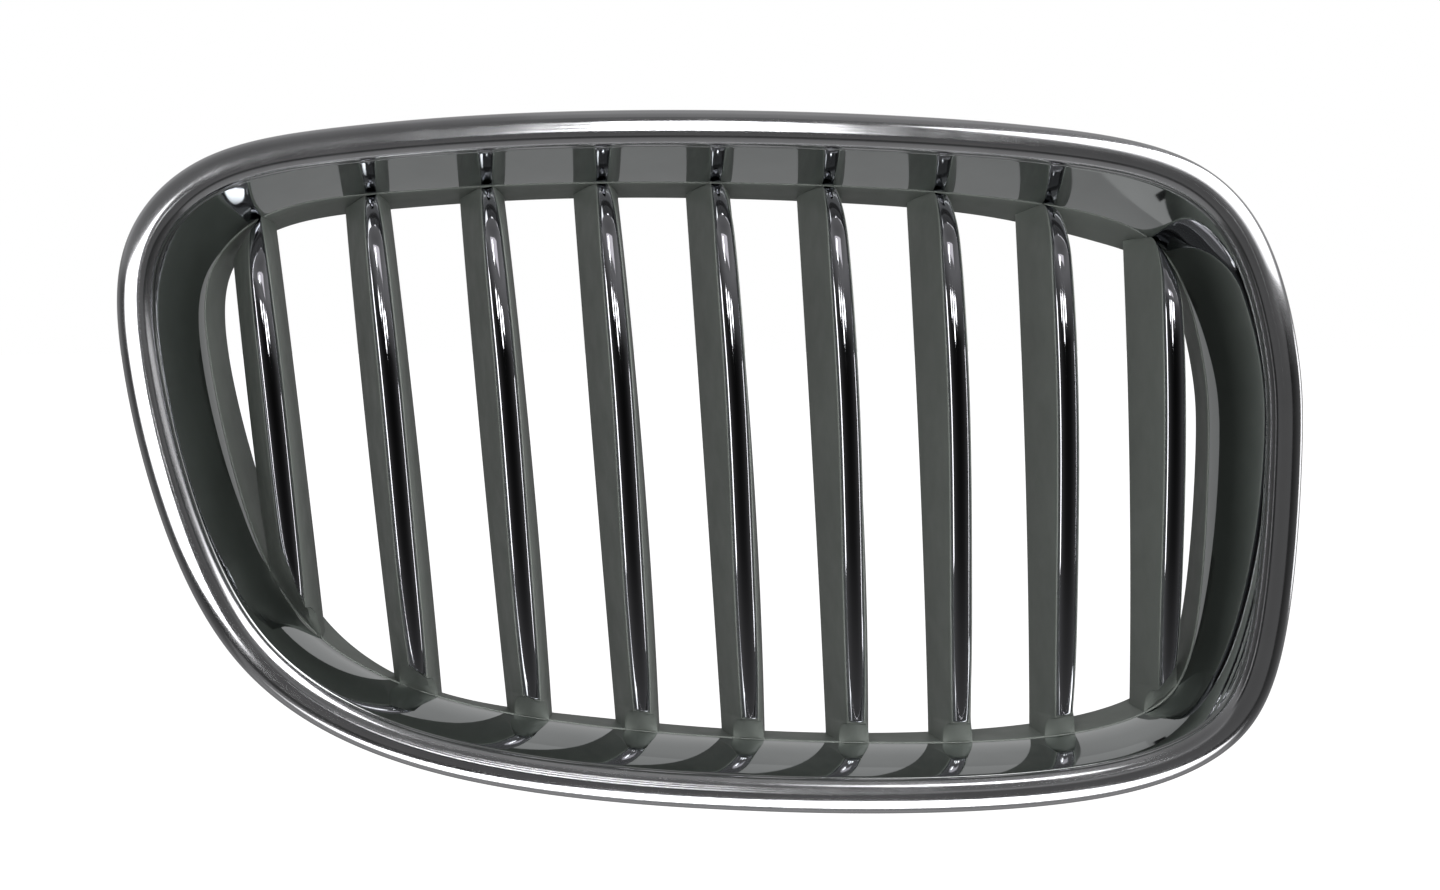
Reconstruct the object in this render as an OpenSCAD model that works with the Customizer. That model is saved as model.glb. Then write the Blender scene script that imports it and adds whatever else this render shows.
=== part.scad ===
// Front grille, one of a left and right pair: a chrome surround, an insert frame
// with nine upright slats, a chrome strip on each slat's nose, and rear fixings.
// X runs across the car, Z up, and the face looks along -Y. The rear seat is y = 0,
// and the origin lies midway between the two carrier screws.

/* [Surround] */
// Width of the crowned rim, seen from the front
rim_width = 10.5; // [9:0.5:12]
// How far the rim's crown stands in front of the rear seat, at mid-height
crown_depth = 51; // [47:1:55]
// Wall thickness of the surround
shell = 2.4; // [2:0.1:2.8]
// How far the face sweeps back at its top and bottom
sweep_height = 9; // [5:1:11]
// How far the face sweeps back at its left and right ends
sweep_width = 4; // [0:1:6]

/* [Insert] */
// Depth of the insert's collar, from the rear seat to its front edge
collar_depth = 16; // [14:1:18]
// Wall thickness of the collar
collar_wall = 2.4; // [2:0.1:2.8]
// Thickness of the rear flange
flange = 4; // [3.5:0.5:5]

/* [Slats] */
// Distance between neighbouring slats
pitch = 32.4; // [31:0.1:33]
// Width of a slat along its rear edge, at mid-height
slat_width = 14.7; // [13:0.1:16]
// Width of a slat's nose
nose_width = 6.6; // [6:0.1:7.5]
// Width of the chrome strip on the nose
strip_width = 5.9; // [5:0.1:6]
// How far the strip stands proud of the nose
strip_proud = 2.2; // [1.5:0.1:2.6]
// Height of the bevelled foot below each strip
foot = 6.5; // [5:0.5:9]

/* [Fixings] */
// Radius of the two pilot holes for the carrier screws
pilot_r = 1.8; // [1.5:0.1:2]
// Distance between the two carrier screws
pilot_spacing = 308; // [306:1:310]
// Radius of the two locating pins
pin_r = 3; // [2.5:0.1:3.5]
// Length of the straight part of a locating pin
pin_length = 8; // [6:0.5:10]
// Width of a snap hook
hook_width = 10; // [8:1:12]
// How far a snap hook reaches behind the rear seat
hook_reach = 17; // [15:1:20]

/* [Hidden] */

// Outlines as [x, z], anticlockwise from the middle of the right side.
// The three lists run side by side: a point of one lies behind the same point of the next.
rim_knots = [[170, -2], [168.8, 32], [159, 66.5], [136, 88.5], [98, 97], [50, 100.6], [-3, 102],
    [-58, 101], [-108, 97], [-147, 88], [-168.5, 65], [-170, 31], [-159.5, -14], [-137, -57],
    [-97, -83.5], [-46, -95.8], [8, -101], [62, -102.6], [114, -99], [149, -86], [165.5, -56]];
throat_knots = [[148.6, -2], [147, 27], [138.5, 55], [120, 70], [88, 76.5], [46, 80], [-3, 81.4],
    [-52, 81], [-93, 78.6], [-127, 73.2], [-145.5, 57], [-147, 32], [-138.5, -8], [-120, -47],
    [-84, -68.5], [-41, -78], [7, -83], [58, -85.2], [102, -83.8], [131, -76.5], [145, -54]];
opening_knots = [[148.2, -2], [146.6, 26], [138, 52.5], [118, 63.5], [86, 71], [46, 75], [-3, 76.8],
    [-51, 76.4], [-92, 73.7], [-123, 69], [-140, 57], [-142.3, 33], [-133.5, -6], [-115.5, -46.5],
    [-82.5, -69.5], [-41, -77.6], [7, -82.6], [57, -84.4], [100, -82], [129.5, -74.5], [143.8, -53]];
spans = len(rim_knots);
// Stretches of the outline, in knots, that hold the upper and the lower ends of the slats
top_stretch = [0.5, 11.5];
bottom_stretch = [11.5, 21.5];
// Rings in one span of the outline
rings_per_span = 6;
rings = spans * rings_per_span;

// Half sizes that the sweep of the face is measured against
half_width = 170;
half_height = 102;

// Rim section: half width and depth of its round crown, and the angle where it creases inwards
crease_angle = 150;
rim_half = rim_width / (1 - cos(crease_angle));
rim_roll = 6;
rim_angles = [for (a = [0:25:crease_angle]) a];
inner_angles = [120, 60, 0];
// Stages down the tunnel, from the rim's crease to the throat
tunnel_stages = [0.06, 0.15, 0.28, 0.45, 0.7, 1];
tunnel_back_stages = [1, 0.5, 0.25];
flare = 1.7;
flare_tilt = 0.5;
lip_gap = 0.2;
skirt_inset = 0.4;
collar_reveal = 0.3;
gasket = 1.2;
gasket_inset = 0.6;
gasket_width = 3;
// Where the flange's inner edge ends, just inside the collar's wall
flange_root = collar_wall - 0.3;
// How far cuts run past a face, and joined pieces into each other
over = 1;

// Slats
slat_count = 9;
middle_slat = 5;
middle_slat_x = 4.7;
pitch_loss = 0.12;
middle_lean = -0.0675;
lean_step = 0.0105;
skew_top = 1.4;
skew_loss = 0.95;
skew_from = 35;
skew_span = 80;
nose_peak_y = -41;
nose_peak_z = 15;
nose_bow = 17;
nose_bow_span = 95;
rear_mid_y = -13;
rear_bow = 10;
rear_bow_span = 80;
slat_end_loss = 1.5;
slat_skin = 1.8;
nose_skin = 3;
nose_round = 15;
strip_top_share = 0.55;
strip_top_length = 9;
embed = 1;
foot_step = 0.2;
inner_end_y = -10;
inner_share = 0.7;
least_half = 0.6;
row_closing = 1.5;
end_gap = 0.25;
strip_gap = 0.16;
slat_rows = 11;
strip_sides = 8;

// Fixings
boss_r = 3.2;
boss_bore_r = 1.25;
boss_bore_depth = 12;
boss_inset = 7;
boss_front = 3.2;
boss_stations = [2.6, 5.5, 8.5, 11, 13.6, 16, 18, 20];
screw_r = 1.2;
screw_length = 12;
screw_hole_r = 1.6;
head_r = 3.2;
head_height = 2;
recess_r = 3.6;
recess_depth = 2.2;
cross_depth = 1.2;
cross_length = 3.6;
cross_width = 0.7;
pilot_boss_r = 4;
pilot_depth = 14;
pilot_floor = 1;
pin_places = [[-45, 92], [62, -94]];
pad_places = [[-108, 84], [115, 82], [-85, -78], [135, -82]];
// The seat is made by raised pads; the rest of the flange stays a step in front of it
seat_step = 0.6;
flange_back = -seat_step;
pad_r = 5;
head_front = flange_back - recess_depth;
pin_chamfer = 1.2;
hook_root_r = 1.6;
hook_gap = 0.3;
hook_blade = 2;
hook_barb = 2.2;
hook_barb_length = 7;
hook_axis_y = flange_back + hook_gap + hook_root_r;
blade_length = hook_reach - hook_axis_y;
// Each hook as [x, z, up], where up is 1 on the top edge and -1 on the bottom edge
hook_places = [[-90, 85, 1], [0, 87, 1], [90, 83, 1], [-60, -83, -1], [35, -91, -1], [90, -91, -1]];
around = 48;

function wrap(i, n) = (i % n + n) % n;
function bend(c, i) = c[wrap(i - 1, len(c))] - 2 * c[i] + c[wrap(i + 1, len(c))];

// Control points of a closed cubic B-spline that passes through the knots k
function settle(k, c, rounds) = rounds == 0 ? c :
    settle(k, [for (i = [0:len(k) - 1]) k[i] - bend(c, i) / 6], rounds - 1);
function through(k) = settle(k, k, 8);

// Point on a closed cubic B-spline, and its direction of travel
function spline(c, t) =
    let(n = len(c), i = floor(t), u = t - i,
        a = c[wrap(i - 1, n)], b = c[wrap(i, n)], d = c[wrap(i + 1, n)], e = c[wrap(i + 2, n)])
    (pow(1 - u, 3) * a + (3 * pow(u, 3) - 6 * u * u + 4) * b
        + (3 * u + 3 * u * u - 3 * pow(u, 3) + 1) * d + pow(u, 3) * e) / 6;
function spline_way(c, t) =
    let(n = len(c), i = floor(t), u = t - i,
        a = c[wrap(i - 1, n)], b = c[wrap(i, n)], d = c[wrap(i + 1, n)], e = c[wrap(i + 2, n)])
    (-pow(1 - u, 2) * a + (3 * u * u - 4 * u) * b + (1 + 2 * u - 3 * u * u) * d + u * u * e) / 2;

rim_line = through(rim_knots);
throat_line = through(throat_knots);
opening_line = through(opening_knots);

// Unit vector into the opening, square to the rim
function inward(t) = let(w = spline_way(rim_line, t), l = norm(w)) [-w.y / l, w.x / l];
function rim_inset(t, s) = spline(rim_line, t) + s * inward(t);
function ring_t(i) = i / rings_per_span;
function outline(c) = [for (i = [0:rings - 1]) spline(c, ring_t(i))];
function inset_outline(s) = [for (i = [0:rings - 1]) rim_inset(ring_t(i), s)];

// How far back the face lies at a point [x, z]
function sweep_back(p) =
    sweep_width * pow(p.x / half_width, 2) + sweep_height * pow(p.y / half_height, 2);
function crown_y(t) = sweep_back(spline(rim_line, t)) - crown_depth;

// A point [x, z] of an outline, at depth y
function place(p, y) = [p.x, y, p.y];

// Tunnel wall: stage 0 is the rim's crease and stage 1 the throat
function tunnel_flare(t) = flare + flare_tilt * inward(t).y;
function tunnel_point(t, stage, out) =
    let(crease = rim_inset(t, rim_width), throat = spline(throat_line, t) - out * inward(t),
        crease_y = crown_y(t) + rim_roll * (1 - sin(crease_angle)),
        p = crease - out * inward(t) + (throat - crease + out * inward(t))
            * (1 - pow(1 - stage, tunnel_flare(t))))
    place(p, crease_y + (-collar_depth - crease_y) * stage);

// One ring of the surround's section, from the skirt over the rim to the throat and back
function surround_ring(t) = let(y = crown_y(t)) concat(
    [place(rim_inset(t, skirt_inset), -flange - gasket)],
    [for (a = rim_angles) place(rim_inset(t, rim_half * (1 - cos(a))), y + rim_roll * (1 - sin(a)))],
    [for (s = tunnel_stages) tunnel_point(t, s, 0)],
    [for (s = tunnel_back_stages) tunnel_point(t, s, shell)],
    [for (a = inner_angles) place(rim_inset(t, shell + (rim_half - shell) * (1 - cos(a))),
        y + rim_roll - (rim_roll - shell) * sin(a))],
    [place(rim_inset(t, shell + skirt_inset), -flange - gasket)]);

// Sweeps rings of equal length into a closed band
module closed_band(list) {
    n = len(list);
    m = len(list[0]);
    faces = [for (i = [0:n - 1]) for (j = [0:m - 1])
        let(a = i * m + j, b = i * m + (j + 1) % m,
            c = (i + 1) % n * m + (j + 1) % m, d = (i + 1) % n * m + j)
        each [[a, b, c], [a, c, d]]];
    polyhedron([for (r = list) each r], faces);
}

// Runs an outline in [x, z] from depth y over a thickness
module plate(y, thick) translate([0, y + thick, 0]) rotate([90, 0, 0]) linear_extrude(thick) children();

// A round bar along y, from depth y over a length
module bar(p, y, r, length)
    translate([p.x, y + length, p.y]) rotate([90, 0, 0]) cylinder(r = r, h = length, $fn = around);

module chrome_surround() color([0.75, 0.76, 0.78]) difference() {
    union() {
        closed_band([for (i = [0:rings - 1]) surround_ring(ring_t(i))]);
        for (t = boss_stations)
            bar(rim_inset(t, boss_inset), crown_y(t) + boss_front, boss_r,
                -flange - crown_y(t) - boss_front);
    }
    for (t = boss_stations)
        bar(rim_inset(t, boss_inset), -flange - boss_bore_depth, boss_bore_r, boss_bore_depth + over);
}

// The collar's wall drafts from the throat to the rear opening
function collar_ring(t) =
    let(n = inward(t), front = spline(throat_line, t), back = spline(opening_line, t))
    [place(front - collar_wall * n, lip_gap - collar_depth),
        place(front + collar_reveal * n, lip_gap - collar_depth),
        place(back, 0), place(back - collar_wall * n, 0)];

module insert_frame() color([0.3, 0.32, 0.31]) difference() {
    union() {
        closed_band([for (i = [0:rings - 1]) collar_ring(ring_t(i))]);
        plate(-flange, flange - seat_step) difference() {
            polygon(inset_outline(skirt_inset));
            polygon([for (i = [0:rings - 1])
                spline(opening_line, ring_t(i)) - flange_root * inward(ring_t(i))]);
        }
        for (side = [-1, 1])
            bar([side * pilot_spacing / 2, 0], -pilot_depth, pilot_boss_r, pilot_depth);
        for (p = concat(pin_places, pad_places))
            bar(p, -over, pad_r, over);
        for (p = pin_places) {
            bar(p, -over, pin_r, pin_length + over);
            translate([p.x, pin_length, p.y]) rotate([-90, 0, 0])
                cylinder(r1 = pin_r, r2 = pin_r - pin_chamfer, h = pin_chamfer, $fn = around);
        }
    }
    for (side = [-1, 1])
        bar([side * pilot_spacing / 2, 0], pilot_floor - pilot_depth, pilot_r, pilot_depth);
    for (t = boss_stations) {
        bar(rim_inset(t, boss_inset), -flange - over, screw_hole_r, flange + 2 * over);
        bar(rim_inset(t, boss_inset), head_front, recess_r, recess_depth + over);
    }
}

module rim_gasket() color([0.1, 0.1, 0.1])
    plate(-flange - gasket, gasket) difference() {
        polygon(inset_outline(gasket_inset));
        polygon(inset_outline(gasket_inset + gasket_width));
    }

module assembly_screws() color([0.2, 0.2, 0.22])
    for (t = boss_stations) difference() {
        union() {
            bar(rim_inset(t, boss_inset), head_front, head_r, head_height);
            bar(rim_inset(t, boss_inset), head_front - screw_length, screw_r, screw_length + over);
        }
        translate(place(rim_inset(t, boss_inset), head_front + head_height))
            for (turn = [0, 90]) rotate([0, turn, 0])
                cube([cross_length, 2 * cross_depth, cross_width], center = true);
    }

// A leaning line x = x0 + lean * z meets an outline between t0 and t1
function side_of(c, t, x0, lean) = let(p = spline(c, t)) p.x - x0 - lean * p.y;
function hit(c, x0, lean, t0, t1, rounds = 24) =
    let(m = (t0 + t1) / 2)
    rounds == 0 ? spline(c, m).y :
    side_of(c, t0, x0, lean) * side_of(c, m, x0, lean) > 0 ? hit(c, x0, lean, m, t1, rounds - 1)
        : hit(c, x0, lean, t0, m, rounds - 1);

// Height where the line meets the collar, at a depth between the seat and the collar's front
function wall_line(y) = let(f = min(1, max(0, -y / collar_depth)))
    opening_line + f * (throat_line - opening_line);
function top_end(x0, lean, y, grow) =
    hit(wall_line(y), x0, lean, top_stretch[0], top_stretch[1]) + grow;
function bottom_end(x0, lean, y, grow) =
    hit(wall_line(y), x0, lean, bottom_stretch[0], bottom_stretch[1]) - grow;

function slat_x(i) = let(d = i - middle_slat) middle_slat_x + pitch * d - pitch_loss * d * d;
function slat_lean(i) = middle_lean + lean_step * (i - middle_slat);
function rear_y(z) = rear_mid_y + rear_bow * pow(z / rear_bow_span, 2);
function crest_y(z) = nose_peak_y + nose_bow * pow((z - nose_peak_z) / nose_bow_span, 2);
function rear_half(z) = (slat_width - slat_end_loss * pow(z / rear_bow_span, 2)) / 2;
foot_y = -collar_depth - foot_step;

// The nose sits off the middle of the slat, less so towards the bottom
function nose_skew(z) = let(u = min(1, max(0, (skew_from - z) / skew_span)))
    skew_top - skew_loss * u * u * (3 - 2 * u);
skew_bottom = skew_top - skew_loss;

// The foot keeps its height square to the wall that it stands on
function foot_height(i) =
    let(x = slat_x(i) + skew_bottom, lean = slat_lean(i),
        left = bottom_end(x - nose_width / 2, lean, foot_y, 0),
        right = bottom_end(x + nose_width / 2, lean, foot_y, 0))
    foot * norm([nose_width, right - left]) / nose_width;

// Share of a slat's length at each row: the foot first, then rows that close up to the top
function row_share(k, length, foot_z) = k == 0 ? 0 :
    let(f = foot_z / length) f + (1 - f) * (1 - pow(1 - (k - 1) / (slat_rows - 1), row_closing));

// The nose rolls back to the collar near the top, and the foot bevels back to it
function nose_y(z, below_top, k) =
    let(full = crest_y(z) + strip_proud, q = min(1, max(0, below_top / nose_round)))
    k == 0 ? foot_y : foot_y + (full - foot_y) * sqrt(max(0, q * (2 - q)));
function nose_half(z, below_top, k) = k == 0 ? foot_half(z) : nose_width / 2 * strip_taper(below_top);
function foot_half(z) =
    let(nose = crest_y(z + foot), f = (foot_y - nose) / (rear_y(z) - nose))
    nose_width / 2 + (rear_half(z) - nose_width / 2) * f;
function strip_taper(below_top) = 1 - (1 - strip_top_share) * exp(-below_top / strip_top_length);

// The eight corners of a slat's channel section on row k, from the rear left round the nose
function slat_row(i, k) =
    let(x0 = slat_x(i), lean = slat_lean(i),
        corners = [[-1, 1], [-1, 0], [1, 0], [1, 1], [1, 2], [1, 3], [-1, 3], [-1, 2]])
    [for (c = corners) let(
        at_rear = c[1] == 1 || c[1] == 2,
        end_y = at_rear ? rear_y(rear_bow_span) : c[1] == 3 ? inner_end_y : foot_y,
        guess = at_rear ? slat_width / 2 : nose_width / 2,
        side_x = x0 + c[0] * guess * (c[1] > 1 ? inner_share : 1),
        low_x = side_x + (at_rear ? 0 : skew_bottom),
        foot_x = c[1] > 0 ? low_x
            : x0 + skew_bottom + c[0] * foot_half(bottom_end(low_x, lean, end_y, 0)),
        grow = c[1] == 0 ? -end_gap : embed,
        top = top_end(side_x + (at_rear ? 0 : skew_top), lean, end_y, grow),
        bottom = bottom_end(foot_x, lean, end_y, grow),
        z = bottom + (top - bottom) * row_share(k, top - bottom, foot_height(i)),
        below = top - z,
        ny = nose_y(z, below, k),
        nh = nose_half(z, below, k),
        ry = rear_y(z),
        f = (ny + nose_skin - ry) / (ny - ry),
        cavity = rear_half(z) - slat_skin + (nh - rear_half(z)) * f,
        half = c[1] == 0 ? nh : c[1] == 1 ? rear_half(z)
            : c[1] == 2 ? rear_half(z) - slat_skin : max(least_half, cavity),
        shift = at_rear ? 0 : nose_skew(z) * (c[1] == 3 ? f : 1))
        [x0 + lean * z + shift + c[0] * half,
            c[1] == 0 ? ny : c[1] == 3 ? ny + nose_skin : ry, z]];

// Joins rows of equal length into a bar; caps lists the end triangles on the first row.
// Two bars that lie back to back split their facing quads alike if one of them is flipped.
module lofted_bar(list, caps, flipped) {
    n = len(list);
    m = len(list[0]);
    sides = [for (i = [0:n - 2]) for (j = [0:m - 1])
        let(a = i * m + j, b = i * m + (j + 1) % m, c = (i + 1) * m + (j + 1) % m, d = (i + 1) * m + j)
        each flipped ? [[a, b, d], [b, c, d]] : [[a, b, c], [a, c, d]]];
    first = [for (f = caps) [f[2], f[1], f[0]]];
    last = [for (f = caps) [for (v = f) v + (n - 1) * m]];
    polyhedron([for (r = list) each r], concat(sides, first, last));
}

module slat(i) color([0.29, 0.31, 0.3])
    lofted_bar([for (k = [0:slat_rows]) slat_row(i, k)],
        [[0, 1, 6], [0, 6, 7], [1, 2, 5], [1, 5, 6], [2, 3, 4], [2, 4, 5]], false);

// The strip's half-round section sits on the slat's nose, from the foot to the top
function strip_row(i, k) =
    let(left = slat_row(i, k)[1], right = slat_row(i, k)[2],
        middle = (left + right) / 2, half = norm(right - left) / 2 * strip_width / nose_width,
        flat = (right - left) / norm(right - left),
        proud = strip_proud * min(1, half / strip_width * 2))
    [for (j = [0:strip_sides]) let(a = 180 - 180 * j / strip_sides)
        middle + half * cos(a) * flat - [0, strip_gap + proud * sin(a), 0]];

module slat_strip(i) color([0.8, 0.81, 0.83])
    lofted_bar([for (k = [1:slat_rows - 1]) strip_row(i, k)],
        [for (j = [1:strip_sides - 1]) [0, j, j + 1]], true);

// A snap hook: a round root, a springy blade and a barb that faces away from the opening
module snap_hook(h) color([0.16, 0.17, 0.17])
    translate([h.x - hook_width / 2, hook_axis_y, h.y]) {
        rotate([0, 90, 0]) cylinder(r = hook_root_r, h = hook_width, $fn = around);
        rotate([90, 0, 90]) linear_extrude(hook_width) polygon([
            [0, -h.z * hook_blade / 2],
            [blade_length, -h.z * hook_blade / 2],
            [blade_length, h.z * hook_blade / 2],
            [blade_length - hook_barb_length, h.z * (hook_blade / 2 + hook_barb)],
            [blade_length - hook_barb_length, h.z * hook_blade / 2],
            [0, h.z * hook_blade / 2]]);
    }

chrome_surround();
insert_frame();
rim_gasket();
assembly_screws();
slat(1);  // slat_1
slat(2);  // slat_2
slat(3);  // slat_3
slat(4);  // slat_4
slat(5);  // slat_5
slat(6);  // slat_6
slat(7);  // slat_7
slat(8);  // slat_8
slat(9);  // slat_9
slat_strip(1);  // slat_strip_1
slat_strip(2);  // slat_strip_2
slat_strip(3);  // slat_strip_3
slat_strip(4);  // slat_strip_4
slat_strip(5);  // slat_strip_5
slat_strip(6);  // slat_strip_6
slat_strip(7);  // slat_strip_7
slat_strip(8);  // slat_strip_8
slat_strip(9);  // slat_strip_9
snap_hook(hook_places[0]);  // snap_hook_top_left
snap_hook(hook_places[1]);  // snap_hook_top_middle
snap_hook(hook_places[2]);  // snap_hook_top_right
snap_hook(hook_places[3]);  // snap_hook_bottom_left
snap_hook(hook_places[4]);  // snap_hook_bottom_middle
snap_hook(hook_places[5]);  // snap_hook_bottom_right
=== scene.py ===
"""Looks of the front grille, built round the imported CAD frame. Shapes are worked out in
millimetres with the same outlines as the CAD source, and placed in metres."""

import math

import bmesh
import bpy
import numpy as np
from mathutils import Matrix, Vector


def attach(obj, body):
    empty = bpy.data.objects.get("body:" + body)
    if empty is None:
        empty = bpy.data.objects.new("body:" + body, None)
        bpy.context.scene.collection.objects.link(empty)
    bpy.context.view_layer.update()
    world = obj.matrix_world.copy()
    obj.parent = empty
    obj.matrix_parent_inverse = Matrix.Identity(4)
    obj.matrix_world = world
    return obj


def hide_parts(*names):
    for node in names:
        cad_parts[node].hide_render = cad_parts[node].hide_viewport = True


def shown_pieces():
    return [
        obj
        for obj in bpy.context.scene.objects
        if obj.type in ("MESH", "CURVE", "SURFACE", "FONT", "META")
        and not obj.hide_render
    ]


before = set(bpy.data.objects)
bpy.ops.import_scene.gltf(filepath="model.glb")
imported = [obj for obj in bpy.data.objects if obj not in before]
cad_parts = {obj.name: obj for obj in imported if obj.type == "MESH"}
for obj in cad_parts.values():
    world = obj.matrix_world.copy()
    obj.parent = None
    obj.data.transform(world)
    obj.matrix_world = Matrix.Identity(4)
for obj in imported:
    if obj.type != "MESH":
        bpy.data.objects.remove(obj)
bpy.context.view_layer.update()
SCENE = bpy.context.scene
MM = 0.001
ROOT = "grille"

# ---------------------------------------------------------------- values shared with the CAD
RIM_KNOTS = [[170, -2], [168.8, 32], [159, 66.5], [136, 88.5], [98, 97], [50, 100.6], [-3, 102],
             [-58, 101], [-108, 97], [-147, 88], [-168.5, 65], [-170, 31], [-159.5, -14],
             [-137, -57], [-97, -83.5], [-46, -95.8], [8, -101], [62, -102.6], [114, -99],
             [149, -86], [165.5, -56]]
THROAT_KNOTS = [[148.6, -2], [147, 27], [138.5, 55], [120, 70], [88, 76.5], [46, 80], [-3, 81.4],
                [-52, 81], [-93, 78.6], [-127, 73.2], [-145.5, 57], [-147, 32], [-138.5, -8],
                [-120, -47], [-84, -68.5], [-41, -78], [7, -83], [58, -85.2], [102, -83.8],
                [131, -76.5], [145, -54]]
OPENING_KNOTS = [[148.2, -2], [146.6, 26], [138, 52.5], [118, 63.5], [86, 71], [46, 75],
                 [-3, 76.8], [-51, 76.4], [-92, 73.7], [-123, 69], [-140, 57], [-142.3, 33],
                 [-133.5, -6], [-115.5, -46.5], [-82.5, -69.5], [-41, -77.6], [7, -82.6],
                 [57, -84.4], [100, -82], [129.5, -74.5], [143.8, -53]]
SPANS = len(RIM_KNOTS)
RIM_WIDTH, CROWN_DEPTH, SHELL = 10.5, 51.0, 2.4
SWEEP_HEIGHT, SWEEP_WIDTH = 9.0, 4.0
HALF_WIDTH, HALF_HEIGHT = 170.0, 102.0
CREASE_ANGLE = math.radians(150)
RIM_HALF = RIM_WIDTH / (1 - math.cos(CREASE_ANGLE))
RIM_ROLL = 6.0
FLARE, FLARE_TILT = 1.7, 0.5
COLLAR_DEPTH, COLLAR_WALL, FLANGE, GASKET = 16.0, 2.4, 4.0, 1.2
SKIRT_INSET, LIP_GAP, COLLAR_REVEAL = 0.4, 0.2, 0.3
SEAT_STEP = 0.6
PITCH, SLAT_WIDTH, NOSE_WIDTH = 32.4, 14.7, 6.6
STRIP_WIDTH, STRIP_PROUD, FOOT = 5.9, 2.2, 6.5
FOOT_Y = -COLLAR_DEPTH - 0.2
BOSS_STATIONS = [2.6, 5.5, 8.5, 11, 13.6, 16, 18, 20]
BOSS_INSET = 7.0
BOSS_R, BOSS_CLEAR, BOSS_BEVEL = 3.2, 3.2, 0.3
BORE_R, BORE_BEVEL, BORE_END = 1.25, 0.2, -16.0


# ---------------------------------------------------------------- outlines
def settle(knots, rounds=8):
    """Control points of a closed cubic B-spline through the knots."""
    k = np.array(knots, float)
    c = k.copy()
    for _ in range(rounds):
        c = k - (np.roll(c, 1, 0) - 2 * c + np.roll(c, -1, 0)) / 6
    return c


RIM, THROAT, OPENING = (settle(k) for k in (RIM_KNOTS, THROAT_KNOTS, OPENING_KNOTS))


def parts_of(c, t):
    t = np.atleast_1d(np.asarray(t, float))
    i = np.floor(t).astype(int)
    u = (t - i)[:, None]
    return u, [c[(i + d) % len(c)] for d in (-1, 0, 1, 2)]


def spline(c, t):
    u, (a, b, d, e) = parts_of(c, t)
    return ((1 - u) ** 3 * a + (3 * u ** 3 - 6 * u * u + 4) * b
            + (3 * u + 3 * u * u - 3 * u ** 3 + 1) * d + u ** 3 * e) / 6


def inward(t):
    """Unit vectors into the opening, square to the rim."""
    u, (a, b, d, e) = parts_of(RIM, t)
    w = (-(1 - u) ** 2 * a + (3 * u * u - 4 * u) * b + (1 + 2 * u - 3 * u * u) * d + u * u * e) / 2
    w /= np.linalg.norm(w, axis=1, keepdims=True)
    return np.stack([-w[:, 1], w[:, 0]], 1)


def rim_inset(t, s):
    return spline(RIM, t) + np.asarray(s)[..., None] * inward(t)


def sweep_back(p):
    return SWEEP_WIDTH * (p[:, 0] / HALF_WIDTH) ** 2 + SWEEP_HEIGHT * (p[:, 1] / HALF_HEIGHT) ** 2


def crown_y(t):
    return sweep_back(spline(RIM, t)) - CROWN_DEPTH


def at_depth(p, y):
    return np.stack([p[:, 0], np.broadcast_to(y, len(p)), p[:, 1]], 1)


# ---------------------------------------------------------------- mesh helpers
def make_mesh(name, points, faces, slots, which=None, smooth=True):
    """A mesh object from points in millimetres; which gives the material slot of each face."""
    mesh = bpy.data.meshes.new(name)
    mesh.from_pydata((np.asarray(points) * MM).tolist(), [], [list(map(int, f)) for f in faces])
    for m in slots:
        mesh.materials.append(m)
    if which is not None:
        mesh.polygons.foreach_set("material_index", np.asarray(which, np.int32))
    if smooth:
        mesh.polygons.foreach_set("use_smooth", np.ones(len(mesh.polygons), bool))
    mesh.validate()
    mesh.update()
    o = bpy.data.objects.new(name, mesh)
    SCENE.collection.objects.link(o)
    return o


def tidy_normals(o, sharp):
    """Points the faces outwards and keeps edges over the sharp angle, in degrees, crisp."""
    bm = bmesh.new()
    bm.from_mesh(o.data)
    bmesh.ops.remove_doubles(bm, verts=bm.verts, dist=1e-6)
    bmesh.ops.dissolve_degenerate(bm, edges=bm.edges, dist=1e-7)
    bmesh.ops.recalc_face_normals(bm, faces=bm.faces)
    for e in bm.edges:
        if len(e.link_faces) == 2 and e.calc_face_angle(0) > math.radians(sharp):
            e.smooth = False
    bm.to_mesh(o.data)
    bm.free()
    o.data.update()
    return o


def band_faces(rows, cols, close_rows=True):
    """Quads of a grid of points, each with its column; the columns always close on themselves."""
    i = np.arange(rows if close_rows else rows - 1)
    i, j = (x.ravel() for x in np.meshgrid(i, np.arange(cols), indexing="ij"))
    a, b = i * cols + j, i * cols + (j + 1) % cols
    n = (i + 1) % rows
    return np.stack([a, b, n * cols + (j + 1) % cols, n * cols + j], 1), j


def finish_piece(o, slot, *nodes, body=ROOT):
    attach(o, body)
    if nodes:
        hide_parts(*nodes)


# ---------------------------------------------------------------- materials
def node_material(name):
    m = bpy.data.materials.new(name)
    m.use_nodes = True
    nt = m.node_tree
    bsdf = nt.nodes["Principled BSDF"]
    return m, nt, bsdf


def add(nt, kind, **values):
    n = nt.nodes.new(kind)
    for key, v in values.items():
        if hasattr(n, key):
            setattr(n, key, v)
        else:
            n.inputs[key.replace("_", " ")].default_value = v
    return n


# The middle part of a noise's values, which the ramps below map
NOISE_SPAN = (0.3, 0.7)


def noise(nt, scale, detail=3.0, rough=0.5):
    """Noise over the piece's own coordinates, in metres."""
    where = add(nt, "ShaderNodeTexCoord").outputs["Object"]
    n = add(nt, "ShaderNodeTexNoise")
    n.inputs["Scale"].default_value = scale
    n.inputs["Detail"].default_value = detail
    n.inputs["Roughness"].default_value = rough
    nt.links.new(where, n.inputs["Vector"])
    return n.outputs["Fac"]


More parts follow.
